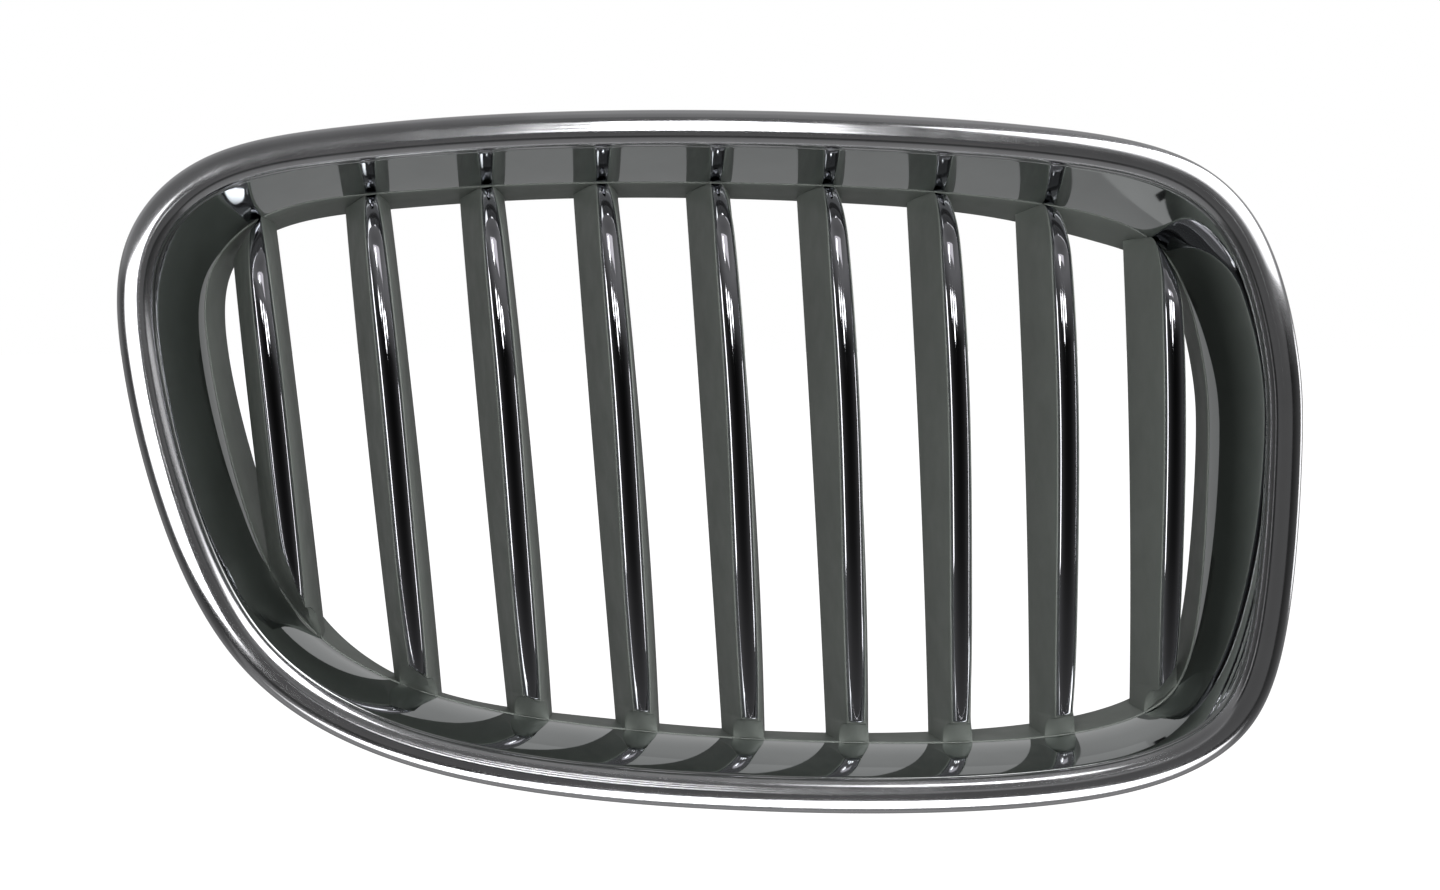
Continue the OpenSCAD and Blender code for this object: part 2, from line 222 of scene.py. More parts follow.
def spread(nt, source, low, high):
    """Maps a noise onto the span from low to high."""
    r = add(nt, "ShaderNodeMapRange")
    r.inputs["From Min"].default_value, r.inputs["From Max"].default_value = NOISE_SPAN
    r.inputs["To Min"].default_value, r.inputs["To Max"].default_value = low, high
    nt.links.new(source, r.inputs["Value"])
    return r.outputs["Result"]


def tint(nt, source, low, high):
    """Maps a noise onto the colours from low to high."""
    r = add(nt, "ShaderNodeValToRGB")
    for e, pos, c in zip(r.color_ramp.elements, NOISE_SPAN, (low, high)):
        e.position, e.color = pos, (*c, 1)
    nt.links.new(source, r.inputs["Fac"])
    return r.outputs["Color"]


def bump(nt, bsdf, *layers):
    """Stacks bumps of (height, strength, distance in metres)."""
    last = None
    for height, strength, distance in layers:
        b = add(nt, "ShaderNodeBump")
        b.inputs["Strength"].default_value = strength
        b.inputs["Distance"].default_value = distance
        nt.links.new(height, b.inputs["Height"])
        if last is not None:
            nt.links.new(last, b.inputs["Normal"])
        last = b.outputs["Normal"]
    nt.links.new(last, bsdf.inputs["Normal"])


def chrome(name, color, rough, grain, mottle):
    """Plated chrome: fine grain in the plating, faint haze, and a slow waviness of the moulding."""
    m, nt, b = node_material(name)
    b.inputs["Metallic"].default_value = 1.0
    dark = tuple(0.93 * c for c in color)
    nt.links.new(tint(nt, noise(nt, 60, 4), dark, color), b.inputs["Base Color"])
    haze = spread(nt, noise(nt, 45, 5, 0.6), rough[0], rough[1])
    nt.links.new(haze, b.inputs["Roughness"])
    bump(nt, b, (noise(nt, 30, 1), mottle, 0.0006), (noise(nt, 2600, 2, 0.7), grain, 0.00004))
    return m


def plastic(name, dark, light, rough, grain_scale, grain, specular=0.5):
    """Moulded plastic with a fine spark-eroded grain and a slight change of tone."""
    m, nt, b = node_material(name)
    b.inputs["Specular IOR Level"].default_value = specular
    nt.links.new(tint(nt, noise(nt, 38, 5, 0.6), dark, light), b.inputs["Base Color"])
    nt.links.new(spread(nt, noise(nt, 110, 4), rough[0], rough[1]), b.inputs["Roughness"])
    bump(nt, b, (noise(nt, grain_scale, 3, 0.65), grain, 0.00008),
         (noise(nt, 140, 2), 0.10, 0.0002))
    return m


RIM_CHROME = chrome("rim_chrome", (0.70, 0.70, 0.72), (0.10, 0.19), 0.12, 0.015)
# The tunnel wall is the same plated shell as the rim, but its chrome has a darker base colour:
# painted shade for the dim inside of the opening.
SHADED_TUNNEL_CHROME = chrome("tunnel_chrome_painted_shade", (0.60, 0.62, 0.62), (0.03, 0.07), 0.03, 0.05)
STRIP_CHROME = chrome("strip_chrome", (0.62, 0.62, 0.66), (0.03, 0.07), 0.03, 0.05)
BACK_CHROME = chrome("back_chrome", (0.48, 0.49, 0.50), (0.25, 0.42), 0.30, 0.10)
GRAPHITE = plastic("graphite", (0.086, 0.095, 0.087), (0.106, 0.117, 0.107), (0.40, 0.52),
                   2400, 0.30)
NYLON = plastic("nylon", (0.014, 0.015, 0.015), (0.028, 0.029, 0.030), (0.42, 0.58), 900, 0.5)
FOAM = plastic("foam", (0.006, 0.006, 0.006), (0.020, 0.020, 0.020), (0.80, 0.95), 700, 1.0, 0.2)


def screw_finish():
    m, nt, b = node_material("black_zinc")
    b.inputs["Metallic"].default_value = 0.85
    nt.links.new(tint(nt, noise(nt, 700, 4), (0.035, 0.036, 0.040), (0.10, 0.10, 0.105)),
                 b.inputs["Base Color"])
    nt.links.new(spread(nt, noise(nt, 900, 4), 0.30, 0.48), b.inputs["Roughness"])
    bump(nt, b, (noise(nt, 3000, 2), 0.25, 0.00004))
    return m


BLACK_ZINC = screw_finish()

# ---------------------------------------------------------------- chrome surround
STATIONS_PER_SPAN = 30
T = np.arange(SPANS * STATIONS_PER_SPAN) / STATIONS_PER_SPAN
ON_RIM, ON_TUNNEL, ON_BACK = range(3)
SKIRT_END = -FLANGE - GASKET
SKIRT_EDGE, SKIRT_BEVEL = 0.3, 0.2
CROWN_FLATNESS = 0.62
CROWN_ANGLES = np.radians(np.linspace(0, 147, 44))
INNER_ANGLES = np.radians([120, 100, 80, 60, 40, 20, 0])
# The fine valley of the crease: the inset of each row from the rim's width, and its drop
VALLEY = ((-0.10, 0.16, ON_RIM), (0.05, 0.22, ON_TUNNEL))
VALLEY_END, VALLEY_END_DROP = 0.012, 0.05
TUNNEL_STEPS = np.concatenate([np.linspace(0.02, 0.3, 15), np.linspace(0.33, 0.985, 22)])
# The rolled lip: how far down the tunnel each row is, and how far out from the wall
LIP = ((0.996, 0.10), (1.0, 0.35), (1.0, SHELL - 0.3))
SHELL_STEPS = [0.985, 0.8, 0.6, 0.45, 0.3, 0.2]


def tunnel_rows(t, stages, out):
    """Rows of the tunnel wall from the crease to the throat, moved out from the opening."""
    crease = rim_inset(t, RIM_WIDTH)
    n = inward(t)
    start = crease - out * n
    throat = spline(THROAT, t) - out * n
    y0 = crown_y(t) + RIM_ROLL * (1 - math.sin(CREASE_ANGLE))
    power = FLARE + FLARE_TILT * n[:, 1]
    rows = []
    for s in stages:
        p = start + (throat - start) * (1 - (1 - s) ** power)[:, None]
        rows.append(at_depth(p, y0 + (-COLLAR_DEPTH - y0) * s))
    return rows


def surround():
    """The rim's crown, a fine crease, the tunnel wall, the rolled lip and the shell behind."""
    t, y = T, crown_y(T)
    rows, kind = [], []

    def put(points, k):
        rows.append(points)
        kind.append(k)

    put(at_depth(rim_inset(t, SKIRT_INSET), SKIRT_END), ON_RIM)
    put(at_depth(rim_inset(t, SKIRT_INSET), SKIRT_END - SKIRT_EDGE), ON_RIM)
    for f in (0.3, 0.6):
        put(at_depth(rim_inset(t, SKIRT_INSET * (1 - f)),
                     SKIRT_END * (1 - f) + (y + RIM_ROLL) * f), ON_RIM)
    for a in CROWN_ANGLES:
        rise = math.sin(a) ** (CROWN_FLATNESS if a < math.pi / 2 else 1)
        put(at_depth(rim_inset(t, RIM_HALF * (1 - math.cos(a))), y + RIM_ROLL * (1 - rise)), ON_RIM)
    crease_y = y + RIM_ROLL * (1 - math.sin(CREASE_ANGLE))
    for inset, drop, k in VALLEY:
        put(at_depth(rim_inset(t, RIM_WIDTH + inset), crease_y + drop), k)
    put(tunnel_rows(t, [VALLEY_END], 0)[0] + [0, VALLEY_END_DROP, 0], ON_TUNNEL)
    for p in tunnel_rows(t, TUNNEL_STEPS, 0):
        put(p, ON_TUNNEL)
    for step, out in LIP:
        put(tunnel_rows(t, [step], out)[0], ON_TUNNEL)
    for p in tunnel_rows(t, SHELL_STEPS, SHELL):
        put(p, ON_BACK)
    for a in INNER_ANGLES:
        put(at_depth(rim_inset(t, SHELL + (RIM_HALF - SHELL) * (1 - math.cos(a))),
                     y + RIM_ROLL - (RIM_ROLL - SHELL) * math.sin(a)), ON_BACK)
    put(at_depth(rim_inset(t, SHELL + SKIRT_INSET), SKIRT_END - SKIRT_EDGE), ON_BACK)
    put(at_depth(rim_inset(t, SHELL + SKIRT_INSET - SKIRT_BEVEL), SKIRT_END), ON_BACK)
    points = np.stack(rows, 1)
    faces, j = band_faces(len(t), len(rows))
    which = np.array(kind)[(j + 1) % len(rows)]
    o = make_mesh("surround_shell", points.reshape(-1, 3), faces,
                  [RIM_CHROME, SHADED_TUNNEL_CHROME, BACK_CHROME], which)
    return tidy_normals(o, 50)


finish_piece(surround(), "polished_chrome", "chrome_surround")


def lathe(profile, place, sides=48):
    """Points and faces of a round piece about an axis along y, from [radius, y] pairs."""
    turn = np.linspace(0, 2 * math.pi, sides, endpoint=False)
    pts = [[place[0] + r * math.cos(a), y, place[1] + r * math.sin(a)]
           for r, y in profile for a in turn]
    faces, _ = band_faces(len(profile), sides, close_rows=False)
    return pts, faces.tolist()


def join_parts(name, parts, slots, sharp=35):
    """One mesh object from several (points, faces) pairs."""
    points, faces = [], []
    for p, f in parts:
        faces += [[v + len(points) for v in face] for face in f]
        points += [list(q) for q in p]
    return tidy_normals(make_mesh(name, points, faces, slots), sharp)


def bosses():
    """The eight screw bosses inside the rim, each with its pilot bore."""
    parts = []
    for t in BOSS_STATIONS:
        centre = rim_inset(t, BOSS_INSET)[0]
        front = float(crown_y(t)[0]) + BOSS_CLEAR
        profile = [(0, front), (BOSS_R, front), (BOSS_R, -FLANGE - BOSS_BEVEL),
                   (BOSS_R - BOSS_BEVEL, -FLANGE), (BORE_R + BORE_BEVEL, -FLANGE),
                   (BORE_R, -FLANGE - BORE_BEVEL), (BORE_R, BORE_END), (0, BORE_END)]
        parts.append(lathe(profile, centre, sides=32))
    return join_parts("surround_bosses", parts, [BACK_CHROME])


finish_piece(bosses(), "polished_chrome")

# ---------------------------------------------------------------- slats and strips
SLATS = range(1, 10)
MIDDLE_SLAT, MIDDLE_SLAT_X, PITCH_LOSS = 5, 4.7, 0.12
MIDDLE_LEAN, LEAN_STEP = -0.0675, 0.0105
SKEW_TOP, SKEW_LOSS, SKEW_FROM, SKEW_SPAN = 1.4, 0.95, 35, 80
SKEW_BOTTOM = SKEW_TOP - SKEW_LOSS
REAR_Y, REAR_RISE, REAR_SPAN, REAR_TAPER = -13.0, 10.0, 80.0, 1.5
CREST_Y, CREST_RISE, CREST_Z, CREST_SPAN = -41.0, 17.0, 15.0, 95.0
END_Y, INNER_END_Y = REAR_Y + REAR_RISE, -10.0
TOP_STRETCH, BOTTOM_STRETCH = (0.5, 11.5), (11.5, 21.5)
SLAT_SKIN, NOSE_SKIN, NOSE_ROUND = 1.8, 3.0, 15.0
STRIP_TOP_SHARE, STRIP_TOP_LENGTH = 0.55, 9.0
STRIP_FOOT_SHARE, STRIP_FOOT_LENGTH = 0.78, 13.0
EMBED, END_GAP = 1.0, 0.25
CORNERS = [(-1, 1), (-1, 0), (1, 0), (1, 1), (1, 2), (1, 3), (-1, 3), (-1, 2)]


def slat_x(i):
    d = i - MIDDLE_SLAT
    return MIDDLE_SLAT_X + PITCH * d - PITCH_LOSS * d * d


def slat_lean(i):
    return MIDDLE_LEAN + LEAN_STEP * (i - MIDDLE_SLAT)


def rear_y(z):
    return REAR_Y + REAR_RISE * (z / REAR_SPAN) ** 2


def crest_y(z):
    return CREST_Y + CREST_RISE * ((z - CREST_Z) / CREST_SPAN) ** 2


def rear_half(z):
    return (SLAT_WIDTH - REAR_TAPER * (z / REAR_SPAN) ** 2) / 2


def nose_skew(z):
    u = np.clip((SKEW_FROM - z) / SKEW_SPAN, 0, 1)
    return SKEW_TOP - SKEW_LOSS * u * u * (3 - 2 * u)


def hit(y, x0, lean, stretch):
    """Height where a leaning line meets the collar's wall at depth y."""
    f = min(1, max(0, -y / COLLAR_DEPTH))
    wall = OPENING + f * (THROAT - OPENING)

    def side(t):
        p = spline(wall, t)[0]
        return p[0] - x0 - lean * p[1]

    t0, t1 = stretch
    for _ in range(26):
        m = (t0 + t1) / 2
        if side(t0) * side(m) > 0:
            t0 = m
        else:
            t1 = m
    return spline(wall, (t0 + t1) / 2)[0][1]


def foot_half(z):
    nose = crest_y(z + FOOT)
    f = (FOOT_Y - nose) / (rear_y(z) - nose)
    return NOSE_WIDTH / 2 + (rear_half(z) - NOSE_WIDTH / 2) * f


def slat_ends(i):
    """Bottom and top height of each corner line of a slat's section, and the foot's height."""
    x0, lean = slat_x(i), slat_lean(i)
    low_left = hit(FOOT_Y, x0 + SKEW_BOTTOM - NOSE_WIDTH / 2, lean, BOTTOM_STRETCH)
    low_right = hit(FOOT_Y, x0 + SKEW_BOTTOM + NOSE_WIDTH / 2, lean, BOTTOM_STRETCH)
    foot = FOOT * math.hypot(NOSE_WIDTH, low_right - low_left) / NOSE_WIDTH
    ends = []
    for side, kind in CORNERS:
        at_rear = kind in (1, 2)
        y = END_Y if at_rear else INNER_END_Y if kind == 3 else FOOT_Y
        half = (SLAT_WIDTH if at_rear else NOSE_WIDTH) / 2 * (0.7 if kind > 1 else 1)
        low_x = x0 + side * half + (0 if at_rear else SKEW_BOTTOM)
        top_x = x0 + side * half + (0 if at_rear else SKEW_TOP)
        if kind == 0:
            low_x = x0 + SKEW_BOTTOM + side * foot_half(hit(y, low_x, lean, BOTTOM_STRETCH))
        grow = -END_GAP if kind == 0 else EMBED
        ends.append((hit(y, low_x, lean, BOTTOM_STRETCH) - grow,
                     hit(y, top_x, lean, TOP_STRETCH) + grow))
    return ends, foot


def nose_shape(z, below, above):
    """Depth of the strip's bed and half its width, above the foot."""
    q = np.clip(below / NOSE_ROUND, 0, 1)
    full = crest_y(z) + STRIP_PROUD
    y = FOOT_Y + (full - FOOT_Y) * np.sqrt(np.maximum(0, q * (2 - q)))
    half = NOSE_WIDTH / 2 * (1 - (1 - STRIP_TOP_SHARE) * np.exp(-below / STRIP_TOP_LENGTH))
    return y, half * (1 - (1 - STRIP_FOOT_SHARE) * np.exp(-above / STRIP_FOOT_LENGTH))


FOOT_STEPS = np.linspace(0, 1, 15)
BODY_STEPS = np.concatenate([[0.004], 1 - (1 - np.linspace(0, 1, 76)[1:]) ** 1.5])


def slat_corners(i):
    """Corner points of a slat on every row, the foot's rows first: (rows, 8, 3)."""
    x0, lean = slat_x(i), slat_lean(i)
    ends, foot = slat_ends(i)
    out = []
    for (side, kind), (bottom, top) in zip(CORNERS, ends):
        z = np.concatenate([bottom + foot * FOOT_STEPS,
                            bottom + foot + (top - bottom - foot) * BODY_STEPS])
        n = len(FOOT_STEPS)
        y, half = nose_shape(z, top - z, np.maximum(0, z - bottom - foot))
        g = FOOT_STEPS
        top_half, top_y = half[n - 1], y[n - 1]
        wide = foot_half(bottom)
        half[:n] = top_half + (wide - top_half) * np.sqrt(1 - g ** 2.6)
        y[:n] = top_y + (FOOT_Y - top_y) * (half[:n] - top_half) / (wide - top_half)
        ry = rear_y(z)
        skew = nose_skew(z)
        skew[:n] *= (ry[:n] - y[:n]) / (ry[:n] - top_y)
        f = (y + NOSE_SKIN - ry) / (y - ry)
        inner = np.maximum(0.6, rear_half(z) - SLAT_SKIN + (half - rear_half(z)) * f)
        h = (half, rear_half(z), rear_half(z) - SLAT_SKIN, inner)[kind]
        shift = (skew, 0, 0, skew * f)[kind]
        yy = (y, ry, ry, y + NOSE_SKIN)[kind]
        out.append(np.stack([x0 + lean * z + shift + side * h, yy, z], 1))
    return np.stack(out, 1)


def toward(a, b, length):
    d = b - a
    return a + d * (length / np.maximum(1e-6, np.linalg.norm(d, axis=-1, keepdims=True)))


GROOVE, GROOVE_DEPTH = 0.42, 0.75
# How far the rounding of a slat's nose edges reaches along the flank and the nose
FLANK_EDGE, NOSE_EDGE = 0.7, 0.22
FOOT_FLANK_EDGE, FOOT_NOSE_EDGE = 0.22, 0.12


def slat_mesh(i):
    """A slat: flanks with rounded edges, a bed for the strip, a domed foot and a hollow back."""
    c = slat_corners(i)
    n = len(FOOT_STEPS)
    rows = len(c)
    in_foot = (np.arange(rows) < n)[:, None]
    edge_flank = np.where(in_foot, FOOT_FLANK_EDGE, FLANK_EDGE)
    edge_nose = np.where(in_foot, FOOT_NOSE_EDGE, NOSE_EDGE)

    def side_of(rear, nose, other, inner_rear):
        pts = [toward(rear, inner_rear, 0.45), toward(rear, nose, 0.35)]
        pts += [rear + (nose - rear) * s for s in (0.2, 0.45, 0.7, 0.88)]
        a, b = toward(nose, rear, edge_flank), toward(nose, other, edge_nose)
        pts += [(1 - u) ** 2 * a + 2 * u * (1 - u) * nose + u * u * b for u in (0, 0.3, 0.6, 1)]
        edge = toward(nose, other, GROOVE - 0.12)
        drop = edge.copy()
        drop[n:, 1] += GROOVE_DEPTH
        pts += [edge, drop]
        return pts

    left = side_of(c[:, 0], c[:, 1], c[:, 2], c[:, 7])
    right = side_of(c[:, 3], c[:, 2], c[:, 1], c[:, 4])[::-1]
    bed = [left[-1] + (right[0] - left[-1]) * s for s in (0.2, 0.4, 0.6, 0.8)]
    # the facet of the foot bows forwards between its edges
    centre_y = c[n - 1, 1, 1] + (FOOT_Y - c[n - 1, 1, 1]) * (1 - FOOT_STEPS)
    for p in left[-6:] + bed + right[:6]:
        across = (p[:n, 0] - c[:n, 1, 0]) / (c[:n, 2, 0] - c[:n, 1, 0]) * 2 - 1
        bowed = centre_y + (p[:n, 1] - centre_y) * np.abs(np.clip(across, -1, 1)) ** 2.2
        p[:n, 1] = np.minimum(p[:n, 1], bowed)
    section = left + bed + right
    inside = [toward(c[:, 4], c[:, 3], 0.3), toward(c[:, 4], c[:, 5], 0.3), c[:, 5], c[:, 6],
              toward(c[:, 7], c[:, 6], 0.3), toward(c[:, 7], c[:, 0], 0.3)]
    section += inside
    points = np.stack(section, 1)
    faces, _ = band_faces(rows, len(section), close_rows=False)
    o = make_mesh(f"slat_{i}_body", points.reshape(-1, 3), faces, [GRAPHITE])
    bm = bmesh.new()
    bm.from_mesh(o.data)
    ends = [e for e in bm.edges if e.is_boundary]
    caps = bmesh.ops.holes_fill(bm, edges=ends, sides=0)["faces"]
    bmesh.ops.triangulate(bm, faces=caps)
    bm.to_mesh(o.data)
    bm.free()
    return tidy_normals(o, 40)


STRIP_SIDES = 28
# The strip's broken lower end: the scale and lift of each ring
STRIP_END = ((0.86, -0.05), (0.96, 0.06), (1.0, 0.28))


def strip_mesh(i):
    """The chrome strip: a half-round bar in the slat's bed, with a softly broken lower end."""
    c = slat_corners(i)[len(FOOT_STEPS):]
    left, right = c[:, 1], c[:, 2]
    middle, across = (left + right) / 2, right - left
    width = np.linalg.norm(across, axis=1, keepdims=True)
    across = across / width
    half = width / 2 * STRIP_WIDTH / NOSE_WIDTH
    proud = STRIP_PROUD * np.minimum(1, half / STRIP_WIDTH * 2)
    sink = GROOVE_DEPTH - 0.12

    def ring(k, scale, lift=0.0):
        pts = []
        for a in np.linspace(0, math.pi, STRIP_SIDES + 1):
            p = middle[k] - across[k] * (math.cos(a) * half[k] * scale)
            pts.append(p - np.array([0, proud[k, 0] * scale * math.sin(a), 0]))
        pts = [pts[0] + [0, sink, 0]] + pts + [pts[-1] + [0, sink, 0]]
        return [p + np.array([0, 0, lift]) for p in pts]

    rings = [ring(0, scale, lift) for scale, lift in STRIP_END]
    rings += [ring(k, 1.0) for k in range(2, len(c))]
    points = np.array(rings)
    around = points.shape[1]
    faces, _ = band_faces(len(rings), around, close_rows=False)
    last = (len(rings) - 1) * around
    faces = faces.tolist() + [list(range(around)), list(range(last, last + around))]
    o = make_mesh(f"slat_{i}_strip", points.reshape(-1, 3), faces, [STRIP_CHROME])
    return tidy_normals(o, 50)


for i in SLATS:
    finish_piece(slat_mesh(i), "graphite_plastic", f"slat_{i}")
    finish_piece(strip_mesh(i), "strip_chrome", f"slat_strip_{i}")

# ---------------------------------------------------------------- insert frame
PIN_PLACES = [(-45, 92), (62, -94)]
PAD_PLACES = [(-108, 84), (115, 82), (-85, -78), (135, -82)]
PILOT_PLACES = [(-154, 0), (154, 0)]
PIN_R, PAD_R, PILOT_R, PILOT_BOSS_R = 3.0, 5.0, 1.8, 4.0
PILOT_DEPTH, PILOT_BOSS_DEPTH = 13.0, 14.0
HEAD_HEIGHT, HEAD_POCKET_R, SHANK_R, FLANGE_MARGIN = 2.2, 3.6, 1.6, 2.1
# Rounded profiles, as steps in radius and in y from a piece's own radius
PIN_STEPS = [(-1.5, 9.2), (-1.2, 9.08), (-0.08, 8.1), (0, 7.8), (0, 0.35), (0.12, 0.1), (0.4, 0)]
PIN_PAD_STEPS = [(-0.4, 0), (-0.1, -0.12), (0, -0.4), (0, -0.9)]
PAD_STEPS = [(-0.5, 0), (-0.15, -0.12), (0, -0.4), (0, -0.9)]
PILOT_STEPS = [(-0.3, 0), (-0.08, -0.1), (0, -0.35), (0, 0.2 - PILOT_BOSS_DEPTH)]


def collar_part():
    """The collar's wall, with a rounded front lip."""
    n = inward(T)
    front, back = spline(THROAT, T), spline(OPENING, T)
    y0 = LIP_GAP - COLLAR_DEPTH
    rows = []
    for d, y in ((-COLLAR_WALL, y0), (-1.0, y0 - 0.02), (0.0, y0), (0.2, y0 + 0.06),
                 (COLLAR_REVEAL, y0 + 0.25)):
        rows.append(at_depth(front + d * n, y))
    for s in (0.05, 0.3, 0.55, 0.8):
        p = front + COLLAR_REVEAL * n
        rows.append(at_depth(p + (back - p) * s, y0 * (1 - s)))
    for d, y in ((0.0, -0.3), (-0.25, 0.0), (-COLLAR_WALL, 0.0)):
        rows.append(at_depth(back + d * n, y))
    pts = np.stack(rows, 1)
    faces, _ = band_faces(len(T), len(rows))
    return pts.reshape(-1, 3).tolist(), faces.tolist()


def circle(place, r, sides=40):
    a = np.linspace(0, 2 * math.pi, sides, endpoint=False)
    return np.stack([place[0] + r * np.cos(a), place[1] + r * np.sin(a)], 1)


def plate_part(loops, y0, y1, bevel=0.25):
    """A flat plate between depths y0 and y1 with bevelled edges; the first loop is its outline."""
    curve = bpy.data.curves.new("plate", "CURVE")
    curve.dimensions, curve.fill_mode = "2D", "BOTH"
    curve.extrude, curve.bevel_depth = (y1 - y0) / 2 - bevel, bevel
    curve.bevel_resolution, curve.offset = 2, -bevel
    for loop in loops:
        sp = curve.splines.new("POLY")
        sp.points.add(len(loop) - 1)
        sp.points.foreach_set("co", np.concatenate(
            [loop, np.zeros((len(loop), 1)), np.ones((len(loop), 1))], 1).ravel())
        sp.use_cyclic_u = True
    o = bpy.data.objects.new("plate", curve)
    SCENE.collection.objects.link(o)
    bpy.context.view_layer.update()
    mesh = bpy.data.meshes.new_from_object(o.evaluated_get(bpy.context.evaluated_depsgraph_get()))
    pts = [(v.co.x, (y0 + y1) / 2 - v.co.z, v.co.y) for v in mesh.vertices]
    faces = [list(p.vertices) for p in mesh.polygons]
    bpy.data.objects.remove(o)
    bpy.data.curves.remove(curve)
    bpy.data.meshes.remove(mesh)
    return pts, faces


def grown(r, steps):
    return [(r + step, y) for step, y in steps]


def flange_parts():
    """The rear flange with its counterbores, the pads, the locating pins and the pilot bosses."""
    t = T[::2]
    outer = rim_inset(t, SKIRT_INSET)
    inner = spline(OPENING, t) - FLANGE_MARGIN * inward(t)
    screws = [rim_inset(station, BOSS_INSET)[0] for station in BOSS_STATIONS]
    shanks, pockets = ([circle(p, r) for p in screws] for r in (SHANK_R, HEAD_POCKET_R))
    head_front = -SEAT_STEP - HEAD_HEIGHT
    parts = [plate_part([outer, inner] + shanks, -FLANGE, head_front, 0.12),
             plate_part([outer, inner] + pockets, head_front, -SEAT_STEP)]
    pad = [(0, 0)] + grown(PAD_R, PAD_STEPS)
    pin = [(0, PIN_STEPS[0][1])] + grown(PIN_R, PIN_STEPS) + grown(PAD_R, PIN_PAD_STEPS)
    pilot = [(0, -PILOT_DEPTH), (PILOT_R, -PILOT_DEPTH), (PILOT_R, -0.35), (PILOT_R + 0.3, 0)]
    pilot += grown(PILOT_BOSS_R, PILOT_STEPS)
    pilot += [(PILOT_BOSS_R - 0.2, -PILOT_BOSS_DEPTH), (0, -PILOT_BOSS_DEPTH)]
    for profile, places in ((pad, PAD_PLACES), (pin, PIN_PLACES), (pilot, PILOT_PLACES)):
        parts += [lathe(profile, p) for p in places]
    return parts


insert = join_parts("insert_body", [collar_part()] + flange_parts(), [GRAPHITE], 30)
finish_piece(insert, "graphite_plastic", "insert_frame")

# ---------------------------------------------------------------- snap hooks
HOOKS = {"top_left": (-90, 85, 1), "top_middle": (0, 87, 1), "top_right": (90, 83, 1),
         "bottom_left": (-60, -83, -1), "bottom_middle": (35, -91, -1),
         "bottom_right": (90, -91, -1)}
HOOK_WIDTH, HOOK_REACH, HOOK_BLADE, HOOK_ROOT = 10.0, 17.0, 2.0, 1.6
BARB, BARB_LENGTH = 2.2, 7.0
HOOK_BEVEL, RIB_BEVEL, RIB_WIDTH, RIB_X = 0.22, 0.12, 1.0, 2.6
HOOK_AXIS_Y = -SEAT_STEP + 0.3 + HOOK_ROOT


def hook(name, x, z, up):
    """A moulded hook: round root, springy blade, barb with a lead-in, and two stiffening ribs."""
    end = HOOK_REACH - HOOK_AXIS_Y
    meet = math.degrees(math.asin(HOOK_BLADE / 2 / HOOK_ROOT))
    arc = [(HOOK_ROOT * math.cos(a), HOOK_ROOT * math.sin(a))
           for a in np.radians(np.linspace(meet, 360 - meet, 33))]
    blade, heel = HOOK_BLADE / 2, end - BARB_LENGTH
    profile = arc + [(end - 0.5, -blade), (end, -blade + 0.5), (end, blade),
                     (end - 1.2, blade + 0.38), (heel + 0.35, blade + BARB - 0.1),
                     (heel, blade + BARB - 0.35), (heel, blade + 0.4), (heel - 0.4, blade)]

    def prism(outline, x0, x1, bevel):
        area = [np.array(p) for p in outline]
        pts = []
        layers = ((x0, 1), (x0 + bevel, 0), (x1 - bevel, 0), (x1, 1))
        for xx, shrink in layers:
            for k, p in enumerate(area):
                a, b = area[k - 1], area[(k + 1) % len(area)]
                d = b - a
                nrm = np.array([d[1], -d[0]]) / max(1e-6, np.hypot(*d))
                q = p - nrm * bevel * shrink
                pts.append([x + xx, HOOK_AXIS_Y + q[0], z + up * q[1]])
        f, _ = band_faces(len(layers), len(area), close_rows=False)
        faces = f.tolist() + [list(range(len(area)))[::-1],
                              list(range(3 * len(area), 4 * len(area)))]
        return pts, faces

    rib = [(3.2, -blade - 0.7), (8.8, -blade - 0.25), (9.5, -blade + 0.2), (2.2, -blade + 0.2)]
    parts = [prism(profile, -HOOK_WIDTH / 2, HOOK_WIDTH / 2, HOOK_BEVEL)]
    parts += [prism(rib, c - RIB_WIDTH / 2, c + RIB_WIDTH / 2, RIB_BEVEL) for c in (-RIB_X, RIB_X)]
    o = join_parts(f"hook_{name}_moulding", parts, [NYLON], 30)
    finish_piece(o, "hook_nylon", f"snap_hook_{name}", body=f"hook_{name}")


for name, (x, z, up) in HOOKS.items():
    hook(name, x, z, up)

# ---------------------------------------------------------------- CAD nodes that stay
for node, m in (("rim_gasket", FOAM), ("assembly_screws", BLACK_ZINC)):
    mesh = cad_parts[node].data
    mesh.materials.clear()
    mesh.materials.append(m)

# ---------------------------------------------------------------- lights, camera, floor
def receivers(name, *starts):
    """A collection of the pieces that a reflector card is meant for."""
    c = bpy.data.collections.new(name)
    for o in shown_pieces():
        if o.name.startswith(starts):
            c.objects.link(o)
    return c


PLATED = receivers("lit_surround", "surround")
STRIPS = receivers("lit_strips", *[f"slat_{i}_strip" for i in SLATS])
MATTE = receivers("lit_plastic", "insert", "hook", *[f"slat_{i}_body" for i in SLATS])


def card(name, place, aim, size, radiance, receiver, glossy=True, diffuse=False,
         tone=(1, 1, 1), cone=180):
    """A softbox or reflector card: a rectangle of light that only its receivers see."""
    data = bpy.data.lights.new(name, "AREA")
    data.shape = "RECTANGLE"
    data.size, data.size_y = size
    data.energy = radiance * 4 * size[0] * size[1]
    data.color = tone
    data.spread = math.radians(cone)
    o = bpy.data.objects.new(name, data)
    SCENE.collection.objects.link(o)
    o.location = place
    o.rotation_mode = "QUATERNION"
    o.rotation_quaternion = (Vector(aim) - Vector(place)).to_track_quat("-Z", "Y")
    o.visible_camera, o.visible_glossy, o.visible_diffuse = False, glossy, diffuse
    o.light_linking.receiver_collection = receiver


